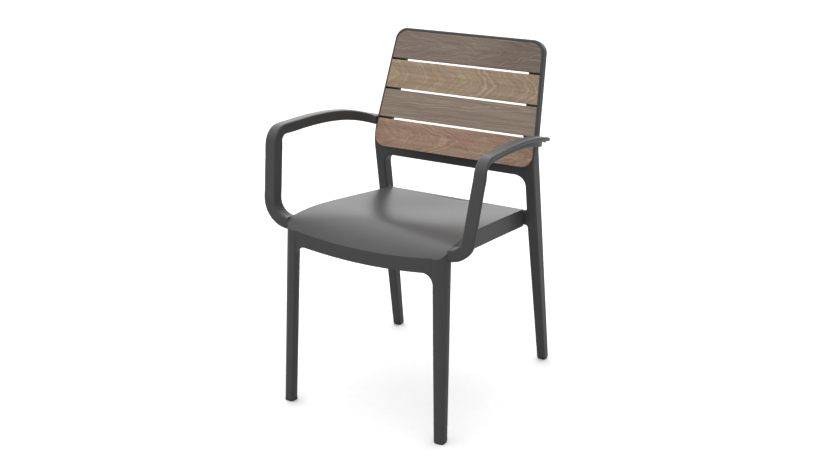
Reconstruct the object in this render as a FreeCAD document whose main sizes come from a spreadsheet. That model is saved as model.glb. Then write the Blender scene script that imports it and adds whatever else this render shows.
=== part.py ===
import FreeCAD, Part
import math
import os

import Sketcher

# Garden armchair of dark moulded resin with four wooden back slats.
# Frame: millimetres, origin on the floor under the middle of the chair, +Z up, the sitter faces -Y.

Vector = FreeCAD.Vector

# Driving dimensions: alias, value (millimetres, or degrees for an angle), what it measures.
SIZES = [
    ("overall_height", 832, "floor to the top edge of the back"),
    ("foot_span", 522, "front foot centre to rear foot centre, along Y"),
    ("front_foot_spacing", 414.5, "between the front foot centres"),
    ("rear_foot_spacing", 440, "between the rear foot centres"),
    ("front_foot_size", 26, "width of a front leg at its foot"),
    ("rear_foot_size", 23, "width of a rear leg at its foot"),
    ("glide_pad", 4, "height of the glide under each leg"),
    ("glide_edge_radius", 1.6, "rounding of a glide's lower edge"),
    ("glide_corner_share", 0.3, "corner radius of a glide as a share of the foot's width"),
    ("glide_stem_length", 16, "how far a glide's stem reaches into the leg"),
    ("glide_stem_diameter", 11, "stem of a glide"),
    ("fit_gap", 0.2, "clearance around a part that drops into another"),
    ("knee_height", 562, "floor to the bend of the rear upright, front face"),
    ("knee_setback", 149, "bend of the rear upright behind the origin"),
    ("knee_radius", 95, "bend radius of the upright's front face"),
    ("knee_back_radius", 60, "bend radius of the upright's rear face"),
    ("upright_break", 34, "where the leg's rear face meets the back of the panel, above the knee"),
    ("recline_angle", 18, "lean of the back from upright"),
    ("waist_height", 598, "floor to where the frame begins to narrow"),
    ("back_waist_width", 448, "outer width of the frame at that height"),
    ("back_top_width", 407, "outer width of the frame at the top"),
    ("panel_thickness", 22, "depth of the back frame, front to rear"),
    ("rear_leg_width", 24.3, "width of a rear leg at the seat"),
    ("frame_corner_radius", 31, "top corners of the back frame"),
    ("frame_edge_radius", 3.5, "rounding of the frame's long edges"),
    ("frame_rim", 5, "rim of the frame around the slats"),
    ("frame_top_rim", 7, "rim of the frame above the top slat"),
    ("slat_flange", 33, "ledge that carries the slat ends"),
    ("slat_height", 70.5, "height of one slat"),
    ("slat_gap", 5, "gap between two slats"),
    ("slat_thickness", 10, "thickness of a slat"),
    ("slat_corner_radius", 30, "outer corners of the top and bottom slats"),
    ("slat_edge_radius", 1.2, "eased front edges of a slat"),
    ("back_rail_height", 27.5, "rail under the bottom slat"),
    ("back_rail_fillet", 27, "fillet where the back rail meets the uprights"),
    ("seat_rail_top", 424, "top of the rear seat rail"),
    ("seat_rail_height", 39, "height of the rear seat rail"),
    ("seat_rail_depth", 12, "thickness of the rear seat rail"),
    ("seat_rail_fillet", 7, "fillets at the ends of the rear seat rail"),
    ("seat_front_height", 460.5, "seat edge beside the front legs"),
    ("seat_rear_height", 427, "seat edge at the rear rail"),
    ("seat_front_setback", 258, "front edge of the seat ahead of the origin"),
    ("seat_bow", 2, "how far the front edge runs back towards its ends"),
    ("seat_front_width", 427, "seat width at the front corners"),
    ("seat_middle_width", 400, "seat width half way back"),
    ("seat_rear_width", 379, "seat width at the rear rail"),
    ("seat_roll_drop", 32.5, "fall of the rolled front edge, middle"),
    ("seat_roll_length", 125, "length of the rolled front edge, middle"),
    ("seat_corner_drop", 14.5, "fall of the rolled front edge, corners"),
    ("seat_corner_roll", 48, "length of the rolled front edge, corners"),
    ("seat_crest", 95, "crest of the seat behind its front edge"),
    ("seat_dish", 11, "depth of the dished seat"),
    ("seat_wall", 4.5, "wall of the seat panel and its aprons"),
    ("seat_corner_radius", 18, "front corners of the seat, seen from above"),
    ("front_apron_height", 72, "front corner of the seat edge down to the apron's lower edge, middle"),
    ("front_apron_arch", 14, "rise of the apron's lower edge towards the legs"),
    ("front_apron_fillet", 25, "fillet between the front apron and a front leg"),
    ("side_apron_front", 32.5, "height of the side apron behind the front leg"),
    ("side_apron_rear", 45, "height of the side apron at the rear rail"),
    ("rib_thickness", 3.5, "ribs under the seat"),
    ("rib_height", 16, "how far the ribs hang under the seat panel"),
    ("front_leg_width", 34.5, "width of a front leg under the seat"),
    ("front_leg_inset", 11.8, "how far a front leg leans inward from foot to seat"),
    ("front_leg_rake", 21.5, "how far a front leg leans back from foot to seat"),
    ("arm_foot_height", 443, "middle of the arm's lower end"),
    ("arm_foot_setback", 230, "middle of the arm's lower end ahead of the origin"),
    ("arm_foot_size", 28, "height of the arm's lower end"),
    ("arm_post_spread", 262, "middle of the arm post from the middle plane, low"),
    ("arm_top_spread", 271.5, "middle of the armrest from the middle plane"),
    ("arm_lower_bend", 50, "bend radius at the foot of the post"),
    ("arm_post_width", 30, "width of the post, along X"),
    ("arm_post_depth", 31, "depth of the post, along Y"),
    ("arm_post_lean", 24, "how far the post leans back, foot to top"),
    ("arm_height", 659.5, "floor to the top of the armrest"),
    ("arm_upper_bend", 30, "bend radius at the top of the post"),
    ("arm_width", 26, "width of the armrest"),
    ("arm_depth", 25.5, "height of the armrest's inner face"),
    ("arm_flange", 9.5, "thickness of the armrest's upper flange"),
    ("arm_wall", 11, "thickness of the armrest's inner wall"),
    ("arm_inner_fillet", 6, "fillet between that flange and wall"),
    ("arm_corner_radius", 4, "rounding of the armrest's long edges"),
    ("arm_fall", 44.5, "fall of the armrest from its crest to its rear end"),
    ("arm_tail_curve", 95, "length of the curve in to the upright"),
    ("arm_tail_width", 32, "length of the armrest's rear end against the upright"),
    ("arm_tail_depth", 21, "height of the armrest's rear end"),
    ("slat_screw_diameter", 4, "slat screw thread"),
    ("slat_screw_bite", 6, "how far a slat screw reaches into its slat"),
    ("slat_screw_head", 8, "slat screw head"),
    ("screw_head_height", 2.6, "height of a screw head"),
    ("slat_screw_pitch", 36, "between the two screws at one end of a slat"),
    ("seat_bolt_diameter", 6, "bolt between seat and rear rail"),
    ("seat_bolt_spacing", 240, "between the two seat bolts"),
    ("seat_bolt_drop", 18, "seat bolts under the top of the rear rail"),
    ("seat_bolt_grip", 8, "how much of the rear rail a seat bolt clamps"),
    ("seat_bolt_head", 10, "width across the flats of a bolt head or nut"),
    ("seat_bolt_head_height", 4.2, "height of a seat bolt's head"),
    ("seat_bolt_recess", 13, "spot-face for a seat bolt's head"),
    ("seat_bolt_reach", 7, "how far a seat bolt reaches past the seat's rear wall"),
    ("seat_nut_height", 5, "height of a seat nut"),
    ("arm_screw_diameter", 6, "screw between front leg and arm"),
    ("arm_screw_grip", 24, "how much of the front leg an arm screw clamps"),
    ("arm_screw_bite", 14, "how far an arm screw reaches into the arm"),
    ("arm_screw_head", 11, "arm screw head"),
    ("arm_screw_drop", 7, "front arm screw under the middle of the arm's lower end"),
    ("tail_screw_diameter", 4, "screw between upright and arm"),
    ("tail_screw_head", 8, "head of the screw between upright and arm"),
    ("tail_screw_bite", 18, "how far that screw reaches into the arm"),
]

doc = FreeCAD.newDocument("garden_armchair")
sheet = doc.addObject("Spreadsheet::Sheet", "Sizes")
for row, (alias, value, note) in enumerate(SIZES, start=1):
    sheet.set(f"A{row}", note)
    sheet.set(f"B{row}", str(value))
    sheet.setAlias(f"B{row}", alias)
doc.recompute()


def size(alias):
    """A driving dimension, read from the sheet."""
    return float(sheet.get(alias))


# Places that several pieces share.
FLOOR = size("glide_pad")
FRONT_FOOT_Y = -size("foot_span") / 2
REAR_FOOT_Y = size("foot_span") / 2
RECLINE = math.radians(size("recline_angle"))
KNEE = Vector(0, size("knee_setback"), size("knee_height"))
UP_PANEL = Vector(0, math.sin(RECLINE), math.cos(RECLINE))
BEHIND_PANEL = Vector(0, math.cos(RECLINE), -math.sin(RECLINE))
SLAT_COUNT = 4
SEAT_RAIL_BOTTOM = size("seat_rail_top") - size("seat_rail_height")


def add_part(name, shape):
    """One sub-part whose shape is worked out from the sheet."""
    part = doc.addObject("Part::Feature", name)
    part.Label = name
    part.Shape = shape
    part.Placement = FreeCAD.Placement()
    return part


# Outlines: closed runs of straight lines whose corners may be rounded.

def rounded_corner(before, corner, after, radius):
    """Start, middle and end of the arc that rounds one corner."""
    towards = (before - corner).normalize()
    away = (after - corner).normalize()
    half_angle = towards.getAngle(away) / 2
    reach = radius / math.tan(half_angle)
    bisector = (towards + away).normalize()
    middle = corner + bisector * (radius / math.sin(half_angle) - radius)
    return corner + towards * reach, middle, corner + away * reach


def rounded_wire(corners, radii):
    """A closed wire through the corners, each rounded by its own radius."""
    count = len(corners)
    arcs = []
    for index in range(count):
        after = corners[(index + 1) % count]
        arcs.append(rounded_corner(corners[index - 1], corners[index], after, radii[index]))
    edges = []
    for index in range(count):
        start, middle, end = arcs[index]
        edges.append(Part.Arc(start, middle, end).toShape())
        edges.append(Part.LineSegment(end, arcs[(index + 1) % count][0]).toShape())
    return Part.Wire(edges)


def prism(points, travel):
    """A straight-sided solid from a flat closed outline."""
    return Part.Face(Part.makePolygon(points + points[:1])).extrude(travel)


def mirrored(shape):
    """The same piece on the other side of the chair."""
    return shape.mirror(Vector(0, 0, 0), Vector(1, 0, 0))


# Sketches: outlines whose corners and radii are bound to the sheet.

def origin_plane(body, role):
    return next(plane for plane in body.Origin.OriginFeatures if plane.Role == role)


def new_sketch(body, name, role):
    sketch = body.newObject("Sketcher::SketchObject", name)
    sketch.AttachmentSupport = [(origin_plane(body, role), "")]
    sketch.MapMode = "FlatFace"
    return sketch


def bind(sketch, constraint, expression):
    number = sketch.addConstraint(constraint)
    sketch.setExpression(f"Constraints[{number}]", expression)


def bind_point(sketch, element, end, across, up):
    """Hold one point of a sketch at two lengths from the sketch's origin."""
    bind(sketch, Sketcher.Constraint("DistanceX", -1, 1, element, end, sketch.evalExpression(across)), across)
    bind(sketch, Sketcher.Constraint("DistanceY", -1, 1, element, end, sketch.evalExpression(up)), up)


def draw_outline(sketch, corners):
    """A closed outline; a corner is (across, up) or (across, up, radius), all as expressions."""
    places = [Vector(sketch.evalExpression(c[0]), sketch.evalExpression(c[1]), 0) for c in corners]
    count = len(corners)
    joints = []
    for index, corner in enumerate(corners):
        if len(corner) == 3:
            radius = sketch.evalExpression(corner[2])
            after = places[(index + 1) % count]
            joints.append(rounded_corner(places[index - 1], places[index], after, radius))
        else:
            joints.append((places[index], None, places[index]))
    lines = []
    for index in range(count):
        lines.append(sketch.addGeometry(Part.LineSegment(joints[index][2], joints[(index + 1) % count][0])))
    for index, corner in enumerate(corners):
        incoming, outgoing = lines[index - 1], lines[index]
        if len(corner) == 2:
            sketch.addConstraint(Sketcher.Constraint("Coincident", incoming, 2, outgoing, 1))
            bind_point(sketch, outgoing, 1, corner[0], corner[1])
            continue
        round_corner(sketch, incoming, outgoing, places[index], joints[index], corner)


def round_corner(sketch, incoming, outgoing, place, joint, corner):
    """An arc tangent to two lines that would meet at a bound point."""
    start, middle, end = joint
    radius = sketch.evalExpression(corner[2])
    centre = middle + (middle - place).normalize() * radius
    left_turn = (place - start).cross(end - place).z > 0
    ends = (start, end) if left_turn else (end, start)
    turns = [math.atan2(point.y - centre.y, point.x - centre.x) for point in ends]
    circle = Part.Circle(centre, Vector(0, 0, 1), radius)
    arc = sketch.addGeometry(Part.ArcOfCircle(circle, turns[0], turns[1]))
    point = sketch.addGeometry(Part.Point(place), True)
    bind_point(sketch, point, 1, corner[0], corner[1])
    sketch.addConstraint(Sketcher.Constraint("PointOnObject", point, 1, incoming))
    sketch.addConstraint(Sketcher.Constraint("PointOnObject", point, 1, outgoing))
    sketch.addConstraint(Sketcher.Constraint("Tangent", incoming, 2, arc, 1 if left_turn else 2))
    sketch.addConstraint(Sketcher.Constraint("Tangent", outgoing, 1, arc, 2 if left_turn else 1))
    bind(sketch, Sketcher.Constraint("Radius", arc, radius), corner[2])


def draw_circle(sketch, across, up, diameter):
    """A circle bound to the sheet."""
    centre = Vector(sketch.evalExpression(across), sketch.evalExpression(up), 0)
    circle = sketch.addGeometry(Part.Circle(centre, Vector(0, 0, 1), sketch.evalExpression(diameter) / 2))
    bind_point(sketch, circle, 3, across, up)
    bind(sketch, Sketcher.Constraint("Diameter", circle, sketch.evalExpression(diameter)), diameter)


def pad(body, name, sketch, length):
    feature = body.newObject("PartDesign::Pad", name)
    feature.Profile = sketch
    feature.SideType = "Symmetric"
    feature.setExpression("Length", length)
    return feature


def pocket_through(body, name, sketch):
    feature = body.newObject("PartDesign::Pocket", name)
    feature.Profile = sketch
    feature.SideType = "Symmetric"
    feature.Type = "ThroughAll"
    return feature


def pocket_across(body, name, sketch, length):
    """A pocket of a given length, half to each side of the sketch."""
    feature = body.newObject("PartDesign::Pocket", name)
    feature.Profile = sketch
    feature.SideType = "Symmetric"
    feature.setExpression("Length", length)
    return feature


def pocket_onward(body, name, sketch):
    """A pocket from the sketch's plane through all that lies behind it."""
    feature = body.newObject("PartDesign::Pocket", name)
    feature.Profile = sketch
    feature.Type = "ThroughAll"
    return feature


def pocket_deep(body, name, sketch, depth):
    feature = body.newObject("PartDesign::Pocket", name)
    feature.Profile = sketch
    feature.setExpression("Length", depth)
    return feature


def rounded(body, name, base, edges, radius):
    """A fillet on the edges of the last feature that pass the test."""
    doc.recompute()
    names = [f"Edge{n}" for n, edge in enumerate(base.Shape.Edges, start=1) if edges(edge)]
    feature = body.newObject("PartDesign::Fillet", name)
    feature.Base = (base, names)
    feature.setExpression("Radius", radius)
    return feature


# Expressions for places on the back panel: along X, and up the panel from the knee.
PANEL_LENGTH_EXPR = "(Sizes.overall_height - Sizes.knee_height) / cos(Sizes.recline_angle)"
SLAT_TOP_EXPR = f"({PANEL_LENGTH_EXPR} - Sizes.frame_top_rim)"
SLAT_BOTTOM_EXPR = (f"({SLAT_TOP_EXPR} - {SLAT_COUNT} * Sizes.slat_height"
                    f" - {SLAT_COUNT - 1} * Sizes.slat_gap)")


def panel_half_expr(up, inset):
    """Half the back's width at a height up the panel, less an inset; straight on below the waist."""
    over_waist = f"(Sizes.knee_height + ({up}) * cos(Sizes.recline_angle) - Sizes.waist_height)"
    share = f"{over_waist} / (Sizes.overall_height - Sizes.waist_height)"
    narrowing = "(Sizes.back_top_width - Sizes.back_waist_width)"
    return f"((Sizes.back_waist_width + {narrowing} * {share}) / 2 - {inset})"


def panel_outline(bottom, top, inset, radius=None):
    """Four corners of a piece of the back panel, its sides parallel to the frame's sides."""
    low = panel_half_expr(bottom, inset)
    high = panel_half_expr(top, inset)
    corners = [(f"-{low}", bottom), (low, bottom), (high, top), (f"-{high}", top)]
    if radius is None:
        return corners
    return [corner + (radius,) for corner in corners]


def tilt_to_panel(sketch, depth="0"):
    """Lay a sketch of the XZ plane on the reclined back, some way behind its front face."""
    lean = FreeCAD.Rotation(Vector(1, 0, 0), -size("recline_angle"))
    sketch.AttachmentOffset = FreeCAD.Placement(Vector(0, KNEE.z, -KNEE.y), lean)
    height = f"Sizes.knee_height - ({depth}) * sin(Sizes.recline_angle)"
    setback = f"-Sizes.knee_setback - ({depth}) * cos(Sizes.recline_angle)"
    sketch.setExpression("AttachmentOffset.Base.y", height)
    sketch.setExpression("AttachmentOffset.Base.z", setback)
    sketch.setExpression("AttachmentOffset.Rotation.Angle", "-Sizes.recline_angle")


# Back frame: rear legs, uprights, rails and the ledge for the slats, in one moulding.

def frame_side_profile():
    """Corners of the rear leg and upright seen from the side, along Y and Z."""
    foot_front = "Sizes.foot_span / 2 - Sizes.rear_foot_size / 2"
    foot_rear = "Sizes.foot_span / 2 + Sizes.rear_foot_size / 2"
    top_y = "Sizes.knee_setback + (Sizes.overall_height - Sizes.knee_height) * tan(Sizes.recline_angle)"
    behind_y = "Sizes.panel_thickness * cos(Sizes.recline_angle)"
    behind_z = "Sizes.panel_thickness * sin(Sizes.recline_angle)"
    break_y = f"Sizes.knee_setback + Sizes.upright_break * sin(Sizes.recline_angle) + {behind_y}"
    break_z = f"Sizes.knee_height + Sizes.upright_break * cos(Sizes.recline_angle) - {behind_z}"
    return [
        (foot_front, "Sizes.glide_pad"),
        ("Sizes.knee_setback", "Sizes.knee_height", "Sizes.knee_radius"),
        (top_y, "Sizes.overall_height"),
        (f"{top_y} + {behind_y}", f"Sizes.overall_height - {behind_z}"),
        (break_y, break_z, "Sizes.knee_back_radius"),
        (foot_rear, "Sizes.glide_pad"),
    ]


def frame_outside(side):
    """Corners of the space beside the frame, seen from the front, on one side."""
    beyond = "Sizes.back_waist_width"
    over = "(Sizes.overall_height + Sizes.panel_thickness)"
    corners = [
        ("(Sizes.rear_foot_spacing + Sizes.rear_foot_size) / 2", "0"),
        ("Sizes.back_waist_width / 2", "Sizes.waist_height", "2 * Sizes.knee_radius"),
        ("Sizes.back_top_width / 2", "Sizes.overall_height"),
        ("Sizes.back_top_width / 2", over),
        (beyond, over),
        (beyond, "0"),
    ]
    return [(f"{side} * ({corner[0]})",) + corner[1:] for corner in corners]


def behind_seat_rail():
    """Corners of the space behind the rear seat rail, seen from the side."""
    low = "(Sizes.seat_rail_top - Sizes.seat_rail_height - Sizes.seat_rail_depth)"
    high = "(Sizes.seat_rail_top + Sizes.seat_rail_depth)"
    near = [(f"{frame_front_expr(z)} + Sizes.seat_rail_depth", z) for z in (low, high)]
    far = [(f"{frame_front_expr(z)} + 4 * Sizes.rear_foot_size", z) for z in (high, low)]
    return near + far


def frame_inside_half():
    """Half the distance between the rear legs at the seat."""
    return "(Sizes.back_waist_width / 2 - Sizes.rear_leg_width)"


def make_back_frame():
    body = doc.addObject("PartDesign::Body", "frame_moulding")
    profile = new_sketch(body, "frame_side_profile", "YZ_Plane")
    draw_outline(profile, frame_side_profile())
    pad(body, "frame_slab", profile, "1.5 * Sizes.back_waist_width")

    outside = new_sketch(body, "frame_outside", "XZ_Plane")
    for side in (1, -1):
        draw_outline(outside, frame_outside(side))
    pocket_through(body, "frame_outline", outside)

    inside = frame_inside_half()
    foot_inside = "(Sizes.rear_foot_spacing - Sizes.rear_foot_size) / 2"
    rail_bottom = "(Sizes.seat_rail_top - Sizes.seat_rail_height)"
    between_legs = new_sketch(body, "between_legs", "XZ_Plane")
    draw_outline(between_legs, [
        (f"-{foot_inside}", "0"), (foot_inside, "0"),
        (inside, rail_bottom, "Sizes.seat_rail_fillet"),
        (f"-{inside}", rail_bottom, "Sizes.seat_rail_fillet"),
    ])
    pocket_through(body, "leg_opening", between_legs)

    back_rail_bottom = (f"Sizes.knee_height + ({SLAT_BOTTOM_EXPR} - Sizes.back_rail_height)"
                        " * cos(Sizes.recline_angle)")
    under_back = new_sketch(body, "under_back", "XZ_Plane")
    draw_outline(under_back, [
        (f"-{inside}", "Sizes.seat_rail_top", "Sizes.seat_rail_fillet"),
        (inside, "Sizes.seat_rail_top", "Sizes.seat_rail_fillet"),
        (inside, back_rail_bottom, "Sizes.back_rail_fillet"),
        (f"-{inside}", back_rail_bottom, "Sizes.back_rail_fillet"),
    ])
    pocket_through(body, "back_opening", under_back)

    behind_rail = new_sketch(body, "behind_seat_rail", "YZ_Plane")
    draw_outline(behind_rail, behind_seat_rail())
    opening = pocket_across(body, "seat_rail_back", behind_rail, f"2 * {inside}")
    top_corners = rounded(body, "frame_corners", opening, is_top_corner, "Sizes.frame_corner_radius")
    eased = rounded(body, "frame_edges", top_corners, is_long_frame_edge, "Sizes.frame_edge_radius")

    recess = new_sketch(body, "slat_recess_outline", "XZ_Plane")
    tilt_to_panel(recess)
    recess_bottom = f"{SLAT_BOTTOM_EXPR} - Sizes.fit_gap"
    recess_top = f"{SLAT_TOP_EXPR} + Sizes.fit_gap"
    draw_outline(recess, panel_outline(recess_bottom, recess_top, "Sizes.frame_rim",
                                       "Sizes.slat_corner_radius + Sizes.fit_gap"))
    pocket_deep(body, "slat_recess", recess, "Sizes.slat_thickness")

    window = new_sketch(body, "slat_window_outline", "XZ_Plane")
    tilt_to_panel(window)
    ledge = "(Sizes.frame_rim + Sizes.slat_flange)"
    draw_outline(window, panel_outline(f"{SLAT_BOTTOM_EXPR} + Sizes.slat_flange / 2",
                                       f"{SLAT_TOP_EXPR} - Sizes.slat_flange / 2", ledge, "Sizes.slat_gap"))
    pocket_through(body, "slat_window", window)

    drill_frame(body)
    doc.recompute()
    return body


def drill_frame(body):
    """Holes for the slat screws, seat bolts and glides."""
    shanks = new_sketch(body, "slat_screw_places", "XZ_Plane")
    tilt_to_panel(shanks)
    seats = new_sketch(body, "slat_screw_seats", "XZ_Plane")
    tilt_to_panel(seats, "Sizes.panel_thickness")
    for across, up in slat_screw_expressions():
        draw_circle(shanks, across, up, "Sizes.slat_screw_diameter + 2 * Sizes.fit_gap")
        draw_circle(seats, across, up, "Sizes.slat_screw_head + 4 * Sizes.fit_gap")
    pocket_through(body, "slat_screw_holes", shanks)
    pocket_onward(body, "slat_screw_recesses", seats)

    height = "(Sizes.seat_rail_top - Sizes.seat_bolt_drop)"
    bolts = new_sketch(body, "seat_bolt_places", "XZ_Plane")
    recesses = new_sketch(body, "seat_bolt_recesses", "XZ_Plane")
    recesses.AttachmentOffset = FreeCAD.Placement(Vector(0, 0, -bolt_seat_y()), FreeCAD.Rotation())
    recesses.setExpression("AttachmentOffset.Base.z", f"-({frame_front_expr(height)} + Sizes.seat_bolt_grip)")
    for side in (-0.5, 0.5):
        across = f"{side} * Sizes.seat_bolt_spacing"
        draw_circle(bolts, across, height, "Sizes.seat_bolt_diameter + 2 * Sizes.fit_gap")
        draw_circle(recesses, across, height, "Sizes.seat_bolt_recess")
    pocket_through(body, "seat_bolt_holes", bolts)
    pocket_onward(body, "seat_bolt_spotfaces", recesses)

    sockets = new_sketch(body, "glide_sockets", "XY_Plane")
    sockets.AttachmentOffset = FreeCAD.Placement(Vector(0, 0, FLOOR), FreeCAD.Rotation())
    sockets.setExpression("AttachmentOffset.Base.z", "Sizes.glide_pad")
    for side in (-0.5, 0.5):
        draw_circle(sockets, f"{side} * Sizes.rear_foot_spacing", "Sizes.foot_span / 2",
                    "Sizes.glide_stem_diameter + 2 * Sizes.fit_gap")
    upward = pocket_deep(body, "glide_socket_holes", sockets, "Sizes.glide_stem_length + 2 * Sizes.fit_gap")
    upward.Reversed = True


def frame_front_expr(height):
    """The front face of the rear legs and rail at a height, along Y."""
    foot = "(Sizes.foot_span / 2 - Sizes.rear_foot_size / 2)"
    share = f"({height} - Sizes.glide_pad) / (Sizes.knee_height - Sizes.glide_pad)"
    return f"({foot} + (Sizes.knee_setback - {foot}) * {share})"


def is_top_corner(edge):
    """The two short edges that close the frame's top, across its thickness."""
    middle = edge.CenterOfMass
    top = size("overall_height") - size("panel_thickness")
    short = edge.Length < 1.2 * size("panel_thickness")
    return short and middle.z > top and abs(middle.x) > size("back_top_width") / 2 - 1


def is_long_frame_edge(edge):
    """Edges that run along the legs, uprights and rails on the front and rear faces."""
    box = edge.BoundBox
    if box.ZMax < FLOOR + 1:
        return False
    middle = edge.CenterOfMass
    direction = edge.tangentAt(edge.FirstParameter)
    across_thickness = abs(direction.x) < 0.02 and abs(direction.y) > 0.9
    if across_thickness:
        return False
    full_width = abs(middle.x) < 1 and box.XLength > 0.9 * size("back_top_width")
    along_fold = full_width and abs(abs(direction.x) - 1) < 1e-6
    on_top = middle.z > size("overall_height") - size("panel_thickness")
    return on_top or not along_fold


def slat_screw_expressions():
    """Where the slat screws stand on the panel: along X, and up from the knee."""
    places = []
    for index in range(SLAT_COUNT):
        bottom = f"{SLAT_BOTTOM_EXPR} + {index} * (Sizes.slat_height + Sizes.slat_gap)"
        middle = f"({bottom} + Sizes.slat_height / 2)"
        for step in (-0.5, 0.5):
            up = f"({middle} + {step} * Sizes.slat_screw_pitch)"
            half = panel_half_expr(up, "(Sizes.frame_rim + Sizes.slat_flange / 2)")
            places.append((half, up))
            places.append((f"-{half}", up))
    return places


# Seat and front legs: one moulding, a dished shell with aprons, ribs and two legs.

SHARE_LIMIT = 1.2


def seat_share(x):
    """0 in the middle of the seat, 1 at its front corners, and a little more past them."""
    return min((2 * x / size("seat_front_width")) ** 2, SHARE_LIMIT)


def seat_front_line(x):
    """The seat's front edge, bowed back towards its ends."""
    return -size("seat_front_setback") + size("seat_bow") * seat_share(x)


# Shape of the seat's upper face: how softly it turns over its crest, how steeply its front edge rolls,
# how far the dish runs on towards the rear edge, and how much narrower than the seat the dish is.
CREST_SOFTNESS = 0.18
ROLL_POWER = 3
DISH_REACH = 0.82
DISH_NARROWING = 1.25


def seat_height(x, y):
    """Height of the seat's upper face: falling to the rear, dished, and rolled over at the front."""
    share = seat_share(x)
    rear = frame_front_y(size("seat_rear_height"))
    crest = size("seat_crest") - size("seat_front_setback")
    along = (y - crest) / (rear - crest)
    turn = math.hypot(along, CREST_SOFTNESS) - CREST_SOFTNESS
    fall = turn / (math.hypot(1, CREST_SOFTNESS) - CREST_SOFTNESS)
    height = size("seat_front_height") - (size("seat_front_height") - size("seat_rear_height")) * fall
    roll = size("seat_roll_length") + (size("seat_corner_roll") - size("seat_roll_length")) * share
    drop = size("seat_roll_drop") + (size("seat_corner_drop") - size("seat_roll_drop")) * share
    ahead = max(0, 1 - (y - seat_front_line(x)) / roll)
    lengthwise = math.sin(math.pi * DISH_REACH * min(max(along, 0), 1)) ** 2
    crosswise = max(0, 1 - DISH_NARROWING * share) ** 2
    return height - drop * ahead ** ROLL_POWER - size("seat_dish") * lengthwise * crosswise


def frame_front_y(z):
    """The front face of the rear legs and rail at a height."""
    foot = REAR_FOOT_Y - size("rear_foot_size") / 2
    return foot + (KNEE.y - foot) * (z - FLOOR) / (KNEE.z - FLOOR)


def seat_top_face():
    """The seat's upper face, well past its edges, as one smooth surface, closest set at the front."""
    half = 0.6 * size("seat_front_width")
    rear = frame_front_y(SEAT_RAIL_BOTTOM)
    depth = rear + size("seat_front_setback") + size("front_leg_width")
    columns = 24
    rows = 40
    crowding = 1.5
    points = []
    for column in range(columns + 1):
        x = half * (2 * column / columns - 1)
        line = []
        for row in range(rows + 1):
            behind = (depth + size("front_leg_width")) * (row / rows) ** crowding - size("front_leg_width")
            y = seat_front_line(x) + behind
            line.append(Vector(x, y, seat_height(x, y)))
        points.append(line)
    surface = Part.BSplineSurface()
    surface.interpolate(points)
    return surface.toShape()


def seat_plan(inset, rear_y):
    """The seat seen from above as a closed wire: bowed front, waisted sides, straight rear."""
    front = size("seat_front_width") / 2 - inset
    middle = size("seat_middle_width") / 2 - inset
    rear = size("seat_rear_width") / 2 - inset
    front_y = seat_front_line(size("seat_front_width") / 2) + inset
    centre_y = -size("seat_front_setback") + inset
    middle_y = (front_y + rear_y) / 2
    corners = [
        Vector(-front, front_y, 0), Vector(front, front_y, 0),
        Vector(rear, rear_y, 0), Vector(-rear, rear_y, 0),
    ]
    edges = [
        Part.Arc(corners[0], Vector(0, centre_y, 0), corners[1]).toShape(),
        Part.Arc(corners[1], Vector(middle, middle_y, 0), corners[2]).toShape(),
        Part.LineSegment(corners[2], corners[3]).toShape(),
        Part.Arc(corners[3], Vector(-middle, middle_y, 0), corners[0]).toShape(),
    ]
    return Part.Wire(edges)


def upright_prism(wire, low, high):
    """A solid between two heights over a flat wire."""
    solid = Part.Face(wire).extrude(Vector(0, 0, high - low))
    solid.translate(Vector(0, 0, low))
    return solid


def seat_block(low, high):
    """The seat's plan as a solid between two heights, its front corners rounded."""
    block = upright_prism(seat_plan(0, frame_front_y(SEAT_RAIL_BOTTOM) + size("seat_wall")), low, high)
    corners = []
    for edge in block.Edges:
        upright = edge.BoundBox.ZLength > 0.9 * (high - low)
        if upright and edge.CenterOfMass.y < 0:
            corners.append(edge)
    return block.makeFillet(size("seat_corner_radius"), corners)


def under_surface(face, drop):
    """Everything under a surface, down past the floor."""
    solid = face.extrude(Vector(0, 0, -2 * size("seat_front_height")))
    solid.translate(Vector(0, 0, -drop))
    return solid


# Corner radii of a front leg as shares of its width: inner front, outer front, outer rear, inner rear.
LEG_TOP_ROUNDING = (0.15, 0.63, 0.27, 0.68)
LEG_FOOT_ROUNDING = (0.25, 0.37, 0.25, 0.37)


def leg_section(z, rounding):
    """One section of the left front leg."""
    centre = front_leg_centre(z)
    width = front_leg_width(z)
    half = width / 2
    corners = [
        centre + Vector(-half, -half, 0), centre + Vector(half, -half, 0),
        centre + Vector(half, half, 0), centre + Vector(-half, half, 0),
    ]
    return rounded_wire(corners, [share * width for share in rounding])


def front_leg_share(z):
    """0 at the foot of a front leg, 1 at the seat."""
    return (z - FLOOR) / (size("seat_front_height") - FLOOR)


def front_leg_centre(z):
    """The middle of the left front leg at a height."""
    x = size("front_foot_spacing") / 2 - size("front_leg_inset") * front_leg_share(z)
    y = FRONT_FOOT_Y + size("front_leg_rake") * front_leg_share(z)
    return Vector(x, y, z)


def front_leg_width(z):
    """The width of a front leg at a height."""
    foot = size("front_foot_size")
    return foot + (size("front_leg_width") - foot) * front_leg_share(z)


def make_front_leg():
    """The left front leg: square at the foot, a leaf-shaped section under the seat."""
    top = size("seat_front_height") + size("seat_wall")
    sections = [leg_section(FLOOR, LEG_FOOT_ROUNDING), leg_section(top, LEG_TOP_ROUNDING)]
    return Part.makeLoft(sections, True, True)


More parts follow.
